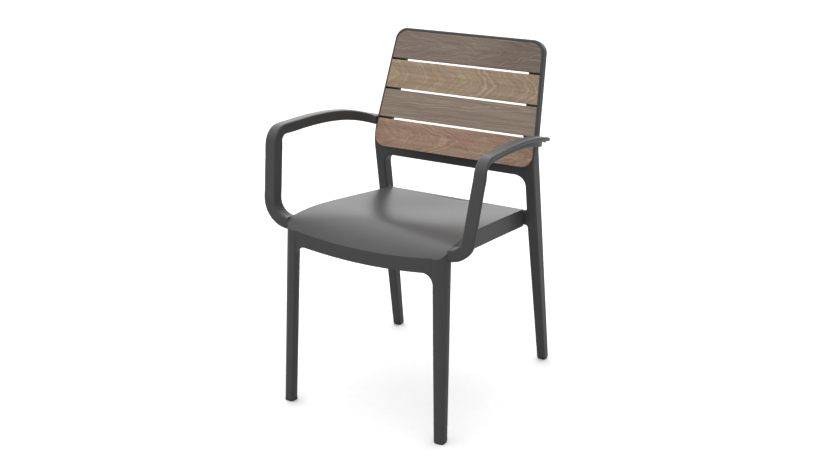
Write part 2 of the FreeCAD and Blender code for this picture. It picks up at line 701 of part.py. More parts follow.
def apron_fillet():
    """The concave web between the front apron's lower edge and the left front leg."""
    radius = size("front_apron_fillet")
    wall = size("seat_wall")
    foot = apron_bottom() - radius
    face = front_leg_centre(foot).x - front_leg_width(foot) / 2
    edge = apron_edge(face - radius)
    y = seat_front_line(face)
    centre = Vector(face - radius, y, edge - radius)
    across = centre + Vector(0, 0, radius)
    down = centre + Vector(radius, 0, 0)
    middle = centre + Vector(1, 0, 1).normalize() * radius
    in_apron = across + Vector(0, 0, 2 * wall)
    in_both = down + Vector(wall, 0, radius + 2 * wall)
    in_leg = down + Vector(wall, 0, 0)
    straight = Part.makePolygon([across, in_apron, in_both, in_leg, down])
    outline = Part.Wire(straight.Edges + [Part.Arc(down, middle, across).toShape()])
    return Part.Face(outline).extrude(Vector(0, 2 * wall, 0))


def apron_bottom():
    """Height of the front apron's lower edge in the middle."""
    return size("seat_front_height") - size("front_apron_height")


def apron_edge(x):
    """Height of the front apron's lower edge at a distance from the middle."""
    end = front_leg_centre(apron_bottom()).x
    return apron_bottom() + size("front_apron_arch") * (x / end) ** 2


def below_aprons():
    """The space under the aprons: an arch between the front legs, a slope along the sides."""
    low = apron_bottom()
    leg = front_leg_centre(low)
    end = low + size("front_apron_arch")
    far = 2 * size("seat_front_setback")
    leg_rear = leg.y + size("front_leg_width") / 2 + size("seat_wall")
    under = low - 2 * size("front_apron_fillet")
    arch = Part.Arc(Vector(-leg.x, -far, end), Vector(0, -far, low), Vector(leg.x, -far, end)).toShape()
    outline = Part.makePolygon([Vector(leg.x, -far, end), Vector(leg.x, -far, under),
                                Vector(-leg.x, -far, under), Vector(-leg.x, -far, end)])
    front = Part.Face(Part.Wire(outline.Edges + [arch])).extrude(Vector(0, leg_rear + far, 0))
    rear = frame_front_y(SEAT_RAIL_BOTTOM)
    side_front = size("seat_front_height") - size("side_apron_front")
    side_rear = size("seat_rear_height") - size("side_apron_rear")
    slope = [Vector(-far, leg_rear, under), Vector(-far, leg_rear, side_front), Vector(-far, rear, side_rear),
             Vector(-far, far, side_rear), Vector(-far, far, under)]
    cuts = [prism(slope, Vector(2 * far, 0, 0))]
    beside = Part.makeBox(far, far + leg_rear, side_front - under, Vector(leg.x, -far, under))
    return front.multiFuse(cuts + [beside, mirrored(beside)])


def behind_frame_front():
    """Everything behind the front face of the rear legs and rail."""
    wide = size("seat_front_width")
    foot = Vector(-wide, frame_front_y(FLOOR), FLOOR)
    knee = Vector(-wide, frame_front_y(KNEE.z), KNEE.z)
    back = Vector(0, wide, 0)
    return prism([foot, knee, knee + back, foot + back], Vector(2 * wide, 0, 0))


# Ribs under the seat, as shares of its rear width from the middle and of its depth from the front edge.
RIBS_ACROSS = (-0.28, 0, 0.28)
RIBS_ALONG = (0.28, 0.52, 0.76)


def seat_ribs():
    """Ribs under the seat panel: three front to rear, three across."""
    low = apron_bottom()
    high = size("seat_front_height")
    thick = size("rib_thickness")
    wide = size("seat_rear_width")
    front = -size("seat_front_setback")
    depth = frame_front_y(SEAT_RAIL_BOTTOM) - front
    ribs = []
    for share in RIBS_ACROSS:
        ribs.append(Part.makeBox(thick, depth, high - low, Vector(share * wide - thick / 2, front, low)))
    for share in RIBS_ALONG:
        place = Vector(-wide, front + share * depth - thick / 2, low)
        ribs.append(Part.makeBox(2 * wide, thick, high - low, place))
    return ribs[0].multiFuse(ribs[1:])


def make_seat():
    top = seat_top_face()
    low = apron_bottom() - 2 * size("front_apron_fillet")
    high = size("seat_front_height") + size("seat_wall")
    wall = size("seat_wall")
    outside = seat_block(low, high)
    inner = seat_plan(wall, frame_front_y(size("seat_rail_top")) - wall)
    solid = outside.common(under_surface(top, 0))
    hollow = upright_prism(inner, low, high).common(under_surface(top, wall))
    hung = hollow.cut(under_surface(top, wall + size("rib_height")))
    shell = solid.cut(hollow).fuse(seat_ribs().common(hung))
    shell = shell.cut(below_aprons())
    leg = make_front_leg().fuse(apron_fillet()).common(under_surface(top, 0))
    shell = shell.fuse([leg, mirrored(leg)]).cut(behind_frame_front()).removeSplitter()
    return shell.cut(seat_holes())


def seat_holes():
    """Holes for the seat bolts, the front arm screws and the front glides."""
    gap = 2 * size("fit_gap")
    holes = []
    for bolt in seat_bolt_places():
        holes.append(rod(bolt, Vector(0, -1, 0), size("seat_bolt_diameter") + gap, seat_bolt_length() + gap))
    place = arm_screw_place()
    length = 2 * size("front_leg_width")
    socket = front_leg_centre(FLOOR)
    left = [
        rod(place, Vector(1, 0, 0), size("arm_screw_diameter") + gap, length),
        rod(place, Vector(-1, 0, 0), size("arm_screw_head") + 2 * gap, length),
        rod(socket, Vector(0, 0, 1), size("glide_stem_diameter") + gap, size("glide_stem_length") + gap),
    ]
    holes += left + [mirrored(hole) for hole in left]
    return holes[0].multiFuse(holes[1:])


# Armrests: a bent bar, open underneath, with a thin upper flange and a deep inner wall.
# A bar's shape is its width, its depth, the thickness of its flange and that of its wall.
FOOT_SOLIDITY = 0.62
FOOT_BAR = (size("arm_foot_size"), size("arm_post_depth"),
            FOOT_SOLIDITY * size("arm_post_depth"), FOOT_SOLIDITY * size("arm_foot_size"))
POST_BAR = (size("arm_post_width"), size("arm_post_depth"), size("arm_flange"), size("arm_wall"))
REST_BAR = (size("arm_width"), size("arm_depth"), size("arm_flange"), size("arm_wall"))
TAIL_BAR = (size("arm_tail_width"), size("arm_tail_depth"), size("arm_flange"), size("arm_wall"))
FALL_POWER = 2.9
REST_TAPER = 0.03


def between(first, second, share):
    """A bar's shape part of the way from one to another."""
    return tuple(a + (b - a) * share for a, b in zip(first, second))


def bar_section(centre, along, outward, bar):
    """One section of an armrest; outward points away from the loop, width runs across the chair."""
    width, depth, flange, wall = bar
    soft = size("arm_corner_radius")
    along = Vector(along).normalize()
    aside = along.cross(outward).normalize()
    out = aside.cross(along).normalize()
    across = width / 2
    deep = depth / 2
    outline = [
        (-across, deep, soft), (across, deep, soft), (across, deep - flange, soft),
        (wall - across, deep - flange, size("arm_inner_fillet")),
        (wall - across, -deep, soft), (-across, -deep, soft),
    ]
    corners = [centre + aside * a + out * b for a, b, radius in outline]
    return rounded_wire(corners, [radius for a, b, radius in outline])


def arm_post_ends():
    """The middle of the post's lower and upper ends, between its two bends."""
    bottom = size("arm_foot_height") + size("arm_lower_bend")
    top = size("arm_height") - size("arm_depth") / 2 - size("arm_upper_bend")
    low = Vector(size("arm_post_spread"), -size("arm_foot_setback"), bottom)
    high = Vector(size("arm_top_spread"), low.y + size("arm_post_lean"), top)
    return low, high


def arm_foot_sections():
    """From inside the front leg outward, then round the lower bend."""
    ahead = Vector(0, -1, 0)
    bend = size("arm_lower_bend")
    centre = arm_post_ends()[0] - Vector(bend, 0, 0)
    start = front_leg_centre(size("arm_foot_height")).x
    sections = []
    for share in (0, 0.35, 0.7):
        place = Vector(start + (centre.x - start) * share, centre.y, centre.z - bend)
        sections.append(bar_section(place, Vector(1, 0, 0), ahead, FOOT_BAR))
    for turn in (0, 22.5, 45, 67.5, 90):
        angle = math.radians(turn)
        place = centre + Vector(math.sin(angle), 0, -math.cos(angle)) * bend
        along = Vector(math.cos(angle), 0, math.sin(angle))
        sections.append(bar_section(place, along, ahead, between(FOOT_BAR, POST_BAR, turn / 90)))
    return sections


def arm_post_sections():
    """Up the post and round the upper bend."""
    low, high = arm_post_ends()
    sections = []
    for share in (0.15, 0.4, 0.65, 0.85, 1):
        sections.append(bar_section(low + (high - low) * share, high - low, Vector(0, -1, 0), POST_BAR))
    bend = size("arm_upper_bend")
    for turn in (22.5, 45, 67.5, 90):
        angle = math.radians(turn)
        place = high + Vector(0, 1 - math.cos(angle), math.sin(angle)) * bend
        along = Vector(0, math.sin(angle), math.cos(angle))
        out = Vector(0, -math.cos(angle), math.sin(angle))
        sections.append(bar_section(place, along, out, between(POST_BAR, REST_BAR, turn / 90)))
    return sections


def arm_crest():
    """The middle of the armrest where it leaves the upper bend."""
    bend = size("arm_upper_bend")
    return arm_post_ends()[1] + Vector(0, bend, bend)


def arm_rest_height(y):
    """The middle of the armrest's depth, falling ever faster to its rear end."""
    share = (y - arm_crest().y) / (arm_tail_y() - arm_crest().y)
    return arm_crest().z - size("arm_fall") * share ** FALL_POWER


def arm_rest_slope(y):
    """How steeply the armrest falls."""
    run = arm_tail_y() - arm_crest().y
    share = (y - arm_crest().y) / run
    return FALL_POWER * size("arm_fall") * share ** (FALL_POWER - 1) / run


def arm_rest_sections():
    """Back along the armrest, falling and drawing in, then curving in to the upright."""
    up = Vector(0, 0, 1)
    crest = arm_crest()
    curve = size("arm_tail_curve")
    straight = arm_tail_y() - curve - crest.y
    sections = []
    for share in (0.1, 0.3, 0.5, 0.7, 0.9):
        y = crest.y + share * straight
        place = Vector(crest.x - REST_TAPER * share * straight, y, arm_rest_height(y))
        sections.append(bar_section(place, Vector(-REST_TAPER, 1, -arm_rest_slope(y)), up, REST_BAR))
    sweep = crest.x - REST_TAPER * straight - arm_tail_x()
    for turn in (15, 30, 45, 60, 75):
        angle = math.radians(turn)
        y = crest.y + straight + curve * math.sin(angle)
        place = Vector(arm_tail_x() + sweep * math.cos(angle), y, arm_rest_height(y))
        ahead = curve * math.cos(angle)
        along = Vector(-sweep * math.sin(angle), ahead, -ahead * arm_rest_slope(y))
        sections.append(bar_section(place, along, up, between(REST_BAR, TAIL_BAR, turn / 90)))
    for share in (0.25, 0.5):
        place = Vector(arm_tail_x() - share * size("slat_flange"), arm_tail_y(), arm_tail_height())
        sections.append(bar_section(place, Vector(-1, 0, 0), up, TAIL_BAR))
    return sections


def arm_tail_height():
    return size("arm_height") - size("arm_depth") / 2 - size("arm_fall")


def panel_place(z):
    """How far up the panel a height lies, measured on its front face."""
    return (z - KNEE.z) / math.cos(RECLINE)


def panel_half(z):
    """Half the back's width at a height; its sides run straight past the waist."""
    waist = size("back_waist_width") / 2
    share = (z - size("waist_height")) / (size("overall_height") - size("waist_height"))
    return waist + (size("back_top_width") / 2 - waist) * share


def leg_half(z):
    """Half the width over the rear legs' outer faces at a height."""
    foot = (size("rear_foot_spacing") + size("rear_foot_size")) / 2
    return foot + (size("back_waist_width") / 2 - foot) * z / size("waist_height")


def arm_tail_x():
    """The outer face of the upright where the armrest meets it."""
    return min(leg_half(arm_tail_height()), panel_half(arm_tail_height()))


def arm_tail_y():
    """Middle of the upright's depth where the armrest meets it."""
    up = panel_place(arm_tail_height())
    return (KNEE + UP_PANEL * up + BEHIND_PANEL * size("panel_thickness") / 2).y


def tail_screw_height():
    """The middle of the flange at the armrest's rear end."""
    return arm_tail_height() + (size("arm_tail_depth") - size("arm_flange")) / 2


def tail_screw_place():
    """Axis of the screw through the ledge behind the slats into the armrest's flange."""
    ledge = size("panel_thickness") - size("slat_thickness")
    up = panel_place(tail_screw_height())
    return KNEE + UP_PANEL * up + BEHIND_PANEL * (size("slat_thickness") + ledge / 2)


def rod(place, along, diameter, length):
    return Part.makeCylinder(diameter / 2, length, place, along)


def headed_screw(place, along, shank, length, head, head_height):
    """A screw whose head seats at place, with its shank running along."""
    body = rod(place, along, shank, length)
    top = Part.makeCylinder(head / 2, head_height, place - along * head_height, along)
    return body.fuse(top).removeSplitter()


def hexagon(place, along, across_flats, height):
    """A hexagonal prism standing on place."""
    reach = across_flats / math.sqrt(3)
    corners = []
    for corner in range(6):
        angle = math.radians(60 * corner)
        corners.append(place + Vector(math.cos(angle), 0, math.sin(angle)) * reach)
    return prism(corners, along * height)


# Fasteners and the places where they sit.

def bolt_seat_y():
    """Where the seat bolts' heads bear inside the rear rail."""
    return frame_front_y(size("seat_rail_top") - size("seat_bolt_drop")) + size("seat_bolt_grip")


def seat_bolt_places():
    """Under the head of each seat bolt."""
    height = size("seat_rail_top") - size("seat_bolt_drop")
    half = size("seat_bolt_spacing") / 2
    return [Vector(side * half, bolt_seat_y(), height) for side in (-1, 1)]


def nut_face_y():
    """The inner face of the seat's rear wall, where the nuts bear."""
    return frame_front_y(size("seat_rail_top")) - size("seat_wall")


def seat_bolt_length():
    return bolt_seat_y() - nut_face_y() + size("seat_bolt_reach")


def make_seat_bolts():
    bolts = []
    forward = Vector(0, -1, 0)
    for place in seat_bolt_places():
        shank = rod(place, forward, size("seat_bolt_diameter"), seat_bolt_length())
        head = hexagon(place, -forward, size("seat_bolt_head"), size("seat_bolt_head_height"))
        bolts.append(shank.fuse(head).removeSplitter())
    return Part.makeCompound(bolts)


def make_seat_nuts():
    nuts = []
    for place in seat_bolt_places():
        face = Vector(place.x, nut_face_y(), place.z)
        nut = hexagon(face, Vector(0, -1, 0), size("seat_bolt_head"), size("seat_nut_height"))
        bore = rod(face, Vector(0, -1, 0), size("seat_bolt_diameter") + size("fit_gap"), size("seat_nut_height"))
        nuts.append(nut.cut(bore))
    return Part.makeCompound(nuts)


def arm_screw_place():
    """Under the head of the left front arm screw, inside the leg."""
    height = size("arm_foot_height") - size("arm_screw_drop")
    return Vector(leg_outer_face(height) - size("arm_screw_grip"),
                  front_leg_centre(height).y + size("seat_wall"), height)


def leg_outer_face(z):
    """The outer face of the left front leg at a height."""
    return front_leg_centre(z).x + front_leg_width(z) / 2


def arm_screw_end():
    """The tip of the left front arm screw, inside the arm."""
    return leg_outer_face(arm_screw_place().z) + size("arm_screw_bite")


def make_front_arm_screws():
    place = arm_screw_place()
    screw = headed_screw(place, Vector(1, 0, 0), size("arm_screw_diameter"), arm_screw_end() - place.x,
                         size("arm_screw_head"), size("screw_head_height"))
    return Part.makeCompound([screw, mirrored(screw)])


def tail_screw_head_x():
    """Where the rear arm screw's head bears, on the inner edge of the ledge."""
    ledge = size("frame_rim") + size("slat_flange")
    return panel_half(tail_screw_height()) - ledge + size("screw_head_height")


def make_rear_arm_screws():
    axis = tail_screw_place()
    place = Vector(tail_screw_head_x(), axis.y, axis.z)
    length = arm_tail_x() + size("tail_screw_bite") - place.x
    screw = headed_screw(place, Vector(1, 0, 0), size("tail_screw_diameter"), length,
                         size("tail_screw_head"), size("screw_head_height"))
    return Part.makeCompound([screw, mirrored(screw)])


def tail_screw_hole():
    """The left rear arm screw's hole and the seat for its head."""
    axis = tail_screw_place()
    gap = 2 * size("fit_gap")
    place = Vector(tail_screw_head_x(), axis.y, axis.z)
    length = arm_tail_x() + size("tail_screw_bite") + gap - place.x
    shank = rod(place, Vector(1, 0, 0), size("tail_screw_diameter") + gap, length)
    seat = rod(place, Vector(-1, 0, 0), size("tail_screw_head") + gap, size("slat_flange"))
    return shank.fuse(seat)


def make_slat_screws():
    screws = []
    length = size("panel_thickness") - size("slat_thickness") + size("slat_screw_bite")
    for across, up in slat_screw_expressions():
        place = KNEE + Vector(sheet.evalExpression(across), 0, 0) + UP_PANEL * sheet.evalExpression(up)
        place += BEHIND_PANEL * size("panel_thickness")
        screws.append(headed_screw(place, -BEHIND_PANEL, size("slat_screw_diameter"), length,
                                   size("slat_screw_head"), size("screw_head_height")))
    return Part.makeCompound(screws)


# Slats: wooden boards let into the front of the frame.

def make_slat(name, index):
    body = doc.addObject("PartDesign::Body", name)
    body.Label = name
    bottom = f"({SLAT_BOTTOM_EXPR} + {index} * (Sizes.slat_height + Sizes.slat_gap))"
    top = f"({bottom} + Sizes.slat_height)"
    corners = panel_outline(bottom, top, "(Sizes.frame_rim + Sizes.fit_gap)")
    rounded_ones = {0: (0, 1), SLAT_COUNT - 1: (2, 3)}.get(index, ())
    for corner in rounded_ones:
        corners[corner] += ("Sizes.slat_corner_radius",)
    outline = new_sketch(body, f"{name}_outline", "XZ_Plane")
    tilt_to_panel(outline)
    draw_outline(outline, corners)
    board = body.newObject("PartDesign::Pad", f"{name}_board")
    board.Profile = outline
    board.Reversed = True
    board.setExpression("Length", "Sizes.slat_thickness")
    rounded(body, f"{name}_edges", board, is_slat_front_edge, "Sizes.slat_edge_radius")

    pilots = new_sketch(body, f"{name}_pilot_places", "XZ_Plane")
    tilt_to_panel(pilots, "Sizes.slat_thickness")
    for across, up in slat_screw_expressions()[4 * index:4 * index + 4]:
        draw_circle(pilots, across, up, "Sizes.slat_screw_diameter + 2 * Sizes.fit_gap")
    forward = pocket_deep(body, f"{name}_pilots", pilots, "Sizes.slat_screw_bite + Sizes.fit_gap")
    forward.Reversed = True
    doc.recompute()
    return body


def is_slat_front_edge(edge):
    """Edges that lie in the front face of the back."""
    return abs((edge.CenterOfMass - KNEE).dot(BEHIND_PANEL)) < 1e-4


# Glides: a pad under each leg, held by a stem.

def make_glide(name, foot, across, along):
    """A glide for one leg; foot, across and along are expressions."""
    body = doc.addObject("PartDesign::Body", name)
    body.Label = name
    half = f"({foot} / 2 - Sizes.fit_gap)"
    pad_outline = new_sketch(body, f"{name}_outline", "XY_Plane")
    soft = f"Sizes.glide_corner_share * {foot}"
    draw_outline(pad_outline, [(f"-{half}", f"-{half}", soft), (half, f"-{half}", soft),
                               (half, half, soft), (f"-{half}", half, soft)])
    block = body.newObject("PartDesign::Pad", f"{name}_pad")
    block.Profile = pad_outline
    block.setExpression("Length", "Sizes.glide_pad")
    rounded(body, f"{name}_edge", block, is_floor_edge, "Sizes.glide_edge_radius")
    stem_outline = new_sketch(body, f"{name}_stem_outline", "XY_Plane")
    draw_circle(stem_outline, "0", "0", "Sizes.glide_stem_diameter")
    stem = body.newObject("PartDesign::Pad", f"{name}_stem")
    stem.Profile = stem_outline
    stem.setExpression("Length", "Sizes.glide_pad + Sizes.glide_stem_length")
    body.setExpression("Placement.Base.x", across)
    body.setExpression("Placement.Base.y", along)
    doc.recompute()
    return body


def is_floor_edge(edge):
    return edge.BoundBox.ZMax < 1e-6


def make_armrest(back_frame, seat):
    """The left armrest, trimmed where it meets the upright, the leg and the seat, and drilled."""
    bar = Part.makeLoft(arm_foot_sections() + arm_post_sections() + arm_rest_sections(), True, False)
    waist, top = size("waist_height"), size("overall_height")
    outline = [(0, 0), (leg_half(0), 0), (leg_half(waist), waist), (panel_half(top), top), (0, top)]
    inside = prism([Vector(x, 0, z) for x, z in outline], Vector(0, size("foot_span"), 0))
    screw = arm_screw_place()
    front_hole = rod(screw, Vector(1, 0, 0), size("arm_screw_diameter") + 2 * size("fit_gap"),
                     arm_screw_end() + 2 * size("fit_gap") - screw.x)
    trimmed = bar.cut([inside, seat_block(FLOOR, KNEE.z), back_frame, seat])
    return trimmed.cut([front_hole, tail_screw_hole()])


# The chair, piece by piece. Left and right are the sitter's own, so left is on +X.

def make_drilled_frame():
    """The back frame with the holes for the rear arm screws."""
    moulding = make_back_frame()
    drills = doc.addObject("Part::Feature", "rear_arm_screw_drills")
    drills.Shape = Part.makeCompound([tail_screw_hole(), mirrored(tail_screw_hole())])
    frame = doc.addObject("Part::Cut", "back_frame")
    frame.Label = "back_frame"
    frame.Base = moulding
    frame.Tool = drills
    doc.recompute()
    return frame


back_frame = make_drilled_frame()
seat = add_part("seat_and_front_legs", make_seat())
left_arm = make_armrest(back_frame.Shape, seat.Shape)
parts = [
    back_frame,
    seat,
    add_part("left_armrest", left_arm),
    add_part("right_armrest", mirrored(left_arm)),
    add_part("slat_screws", make_slat_screws()),
    add_part("seat_bolts", make_seat_bolts()),
    add_part("seat_nuts", make_seat_nuts()),
    add_part("front_arm_screws", make_front_arm_screws()),
    add_part("rear_arm_screws", make_rear_arm_screws()),
]
for index, place in enumerate(("bottom", "lower", "upper", "top")):
    parts.append(make_slat(f"back_slat_{place}", index))
for side, sign in (("left", 1), ("right", -1)):
    parts.append(make_glide(f"front_{side}_glide", "Sizes.front_foot_size",
                            f"{sign} * Sizes.front_foot_spacing / 2", "-Sizes.foot_span / 2"))
    parts.append(make_glide(f"rear_{side}_glide", "Sizes.rear_foot_size",
                            f"{sign} * Sizes.rear_foot_spacing / 2", "Sizes.foot_span / 2"))
doc.recompute()

for item in doc.Objects:
    if "Invalid" in item.State or "Error" in item.State:
        raise RuntimeError(f"{item.Label} failed: {item.State}")
for part in parts:
    if part.Shape.isNull() or not part.Shape.isValid():
        raise RuntimeError(f"{part.Label} has no valid shape")
os.makedirs("parts", exist_ok=True)
for part in parts:
    part.Shape.exportStep(f"parts/{part.Label}.step")
    print(part.Label, len(part.Shape.Solids), "solids", round(part.Shape.Volume), "mm3")
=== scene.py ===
import math
from typing import NamedTuple

import bpy
from bpy.props import FloatProperty, FloatVectorProperty, PointerProperty
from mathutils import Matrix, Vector


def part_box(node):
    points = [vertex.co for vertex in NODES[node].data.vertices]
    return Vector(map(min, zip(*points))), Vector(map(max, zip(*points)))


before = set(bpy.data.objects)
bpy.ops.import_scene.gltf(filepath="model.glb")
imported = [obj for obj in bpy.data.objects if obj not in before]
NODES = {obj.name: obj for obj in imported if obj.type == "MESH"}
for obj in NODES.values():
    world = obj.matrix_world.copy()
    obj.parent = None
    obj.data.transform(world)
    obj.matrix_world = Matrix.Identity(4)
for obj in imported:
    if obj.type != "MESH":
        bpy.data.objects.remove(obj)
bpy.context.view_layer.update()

bl_info = {
    "name": "Garden Armchair Finish",
    "version": (1, 0, 0),
    "blender": (4, 5, 0),
    "location": "View3D > Sidebar > Armchair",
    "description": "Finishes for a resin garden armchair with wooden slats, and a plain studio",
    "category": "Material",
}

# The CAD nodes that share a finish; the slats go from the lowest to the highest.
MOULDINGS = ("back_frame", "seat_and_front_legs", "left_armrest", "right_armrest")
FASTENERS = ("slat_screws", "seat_bolts", "seat_nuts", "front_arm_screws", "rear_arm_screws")
GLIDES = ("front_left_glide", "front_right_glide", "rear_left_glide", "rear_right_glide")
SLATS = ("back_slat_bottom", "back_slat_lower", "back_slat_upper", "back_slat_top")

# Most of a noise lies between these two values.
NOISE_RANGE = (0.3, 0.7)

# How fine each layer of the grain is along a board, up its face and out of it: features to the metre.
STREAKS = (5, 150, 150)
FIBRES = (12, 520, 520)
PATCHES = (9, 30, 30)
LONG_WAVES = (9, 6, 6)
SHORT_WAVES = (34, 70, 70)
PORES_ACROSS = 1400

# How far a board's grain moves through the noise for each unit of its seed.
SEED_STEP = (3.7, 1.3, 2.1)

# How far a flame's tip is rounded, in metres, and how many times further the rings sway than they waver.
FLAME_TIP = 0.004
SWAY = 2.7

# Where a growth ring's tones lie on its noise, each with the share of the figure that it adds to the tone.
RING_STOPS = ((0.28, -0.5), (0.46, -0.125), (0.56, 0.25), (0.66, 1.0))

# What the reddest and the yellowest patches do to a board's colour, each with its place on the noise.
RED_PATCH = (0.36, (0.94, 0.86, 0.84))
YELLOW_PATCH = (0.60, (1.02, 1.01, 0.95))

# Noise at a pore's bottom and at its rim, and how dark the two are.
PORE_NOISE = (0.28, 0.42)
PORE_SHADE = (0.76, 1.0)

# Where a board's right end starts to darken and where it is darkest, in metres from its middle.
END_SPAN = (0.02, 0.16)

# Directions towards the lights; the back and top lights start and are full at these cosines from theirs.
FILL_FROM = (-0.85, -0.53, 0.0)
BACK_LIGHT_FROM = (-0.48, 0.74, 0.47)
BACK_LIGHT_EDGE = (0.35, 1.0)
TOP_LIGHT_FROM = (0, 0, 1)
TOP_LIGHT_EDGE = (0.3, 0.85)

# The studio's white, half the floor's side in metres and the camera's sensor in millimetres.
WHITE = (1.0, 1.0, 1.0, 1.0)
FLOOR_REACH = 30.0
SENSOR_WIDTH = 36.0


class BoardCut(NamedTuple):
    """How one board was cut from the log; lengths are in metres."""
    tone: str             # which wood tone of the settings it has
    flame_height: float   # how high over the board's middle the flame of the grain points
    steepness: float      # how steeply the flame's sides run across the board
    ring_width: float     # mean width of a growth ring
    waver: float          # how far the rings waver to each side
    figure: float         # how strongly its rings show, against the other boards
    end_shade: float      # how dark its right end is
    seed: float           # sets its grain apart from the other boards'


BOARD_CUTS = {
    "back_slat_top": BoardCut(
        tone="brown_wood", flame_height=0.006, steepness=0.20, ring_width=0.0042,
        waver=0.009, figure=0.8, end_shade=0.86, seed=1.0),
    "back_slat_upper": BoardCut(
        tone="tan_wood", flame_height=-0.004, steepness=0.80, ring_width=0.0078,
        waver=0.014, figure=0.8, end_shade=0.96, seed=5.0),
    "back_slat_lower": BoardCut(
        tone="grey_wood", flame_height=0.022, steepness=0.05, ring_width=0.0030,
        waver=0.004, figure=0.6, end_shade=0.98, seed=9.0),
    "back_slat_bottom": BoardCut(
        tone="red_wood", flame_height=-0.008, steepness=0.40, ring_width=0.0070,
        waver=0.015, figure=0.8, end_shade=0.86, seed=13.0),
}


class ResinSettings(bpy.types.PropertyGroup):
    """Finish of the moulded resin"""
    colour: FloatVectorProperty(
        name="Colour", description="Colour of the moulded resin", subtype="COLOR",
        default=(0.055, 0.055, 0.056), min=0, max=1)
    roughness: FloatProperty(
        name="Roughness", description="Mean roughness of the satin surface", subtype="FACTOR",
        default=0.37, min=0, max=1)
    polish: FloatProperty(
        name="Polish", description="How far the roughness strays from its mean", subtype="FACTOR",
        default=0.015, min=0, max=1)
    ior: FloatProperty(
        name="IOR", description="Index of refraction, which sets how strongly the resin reflects",
        default=1.3, min=1, max=3)
    grain_size: FloatProperty(
        name="Grain Size", description="Size of the mould's fine surface grain", subtype="DISTANCE",
        unit="LENGTH", default=0.0008, min=0.0001, max=0.01)
    grain_depth: FloatProperty(
        name="Grain Depth", description="Depth of the mould's fine surface grain", subtype="DISTANCE",
        unit="LENGTH", default=0.00004, min=0, max=0.001)


class WoodSettings(bpy.types.PropertyGroup):
    """Finish of the wooden slats"""
    brown_wood: FloatVectorProperty(
        name="Brown Wood", description="Main tone of the dark board", subtype="COLOR",
        default=(0.181, 0.141, 0.110), min=0, max=1)
    grey_wood: FloatVectorProperty(
        name="Grey Wood", description="Main tone of the weathered board", subtype="COLOR",
        default=(0.230, 0.180, 0.139), min=0, max=1)
    tan_wood: FloatVectorProperty(
        name="Tan Wood", description="Main tone of the light board", subtype="COLOR",
        default=(0.295, 0.221, 0.146), min=0, max=1)
    red_wood: FloatVectorProperty(
        name="Red Wood", description="Main tone of the reddish board", subtype="COLOR",
        default=(0.302, 0.198, 0.137), min=0, max=1)
    figure: FloatProperty(
        name="Figure", description="How strongly the growth rings show", subtype="FACTOR",
        default=0.38, min=0, max=1)
    pore_length: FloatProperty(
        name="Pore Length", description="Length of the open pores along the grain", subtype="DISTANCE",
        unit="LENGTH", default=0.012, min=0.001, max=0.1)


class HardwareSettings(bpy.types.PropertyGroup):
    """Finish of the fasteners and glides"""
    steel_colour: FloatVectorProperty(
        name="Steel", description="Colour of the fasteners", subtype="COLOR",
        default=(0.42, 0.42, 0.43), min=0, max=1)
    glide_colour: FloatVectorProperty(
        name="Glides", description="Colour of the glides under the legs", subtype="COLOR",
        default=(0.022, 0.022, 0.022), min=0, max=1)


class StageSettings(bpy.types.PropertyGroup):
    """Studio around the chair"""
    azimuth: FloatProperty(
        name="Azimuth", description="Camera's angle round the chair from straight ahead", subtype="ANGLE",
        unit="ROTATION", default=math.radians(30.6))
    elevation: FloatProperty(
        name="Elevation", description="Camera's angle above the horizon", subtype="ANGLE",
        unit="ROTATION", default=math.radians(19.2))
    distance: FloatProperty(
        name="Distance", description="Camera's distance from the point it looks at", subtype="DISTANCE",
        unit="LENGTH", default=2.7784, min=0.1)
    target: FloatVectorProperty(
        name="Target", description="The point the camera looks at", subtype="XYZ",
        unit="LENGTH", default=(0, -0.0321, 0.3953))
    lens: FloatProperty(
        name="Lens", description="Focal length of the camera", subtype="DISTANCE_CAMERA",
        unit="CAMERA", default=50.68, min=1)
    floor_colour: FloatVectorProperty(
        name="Floor", description="Colour of the studio floor", subtype="COLOR",
        default=(0.80, 0.80, 0.80), min=0, max=1)
    floor_bounce: FloatProperty(
        name="Floor Bounce", description="Share of its light that the floor gives back to the chair",
        subtype="FACTOR", default=0.52, min=0, max=1)
    fill_light: FloatProperty(
        name="Fill", description="Brightness of the light from all round", default=0.62, min=0)
    fill_slope: FloatProperty(
        name="Fill Slope", description="How much brighter the fill is from the front left than on average",
        subtype="FACTOR", default=0.5, min=0, max=1)
    back_light: FloatProperty(
        name="Back Light", description="Extra brightness from behind the chair", default=1.5, min=0)
    top_light: FloatProperty(
        name="Top Light", description="Extra brightness from above", default=1.15, min=0)


# Node graphs: a short word for each kind of node that the finishes and the studio share.

def new_material(name):
    material = bpy.data.materials.new(name)
    material.use_nodes = True
    return material


def scaled(colour, factor):
    return tuple(min(1.0, channel * factor) for channel in colour)


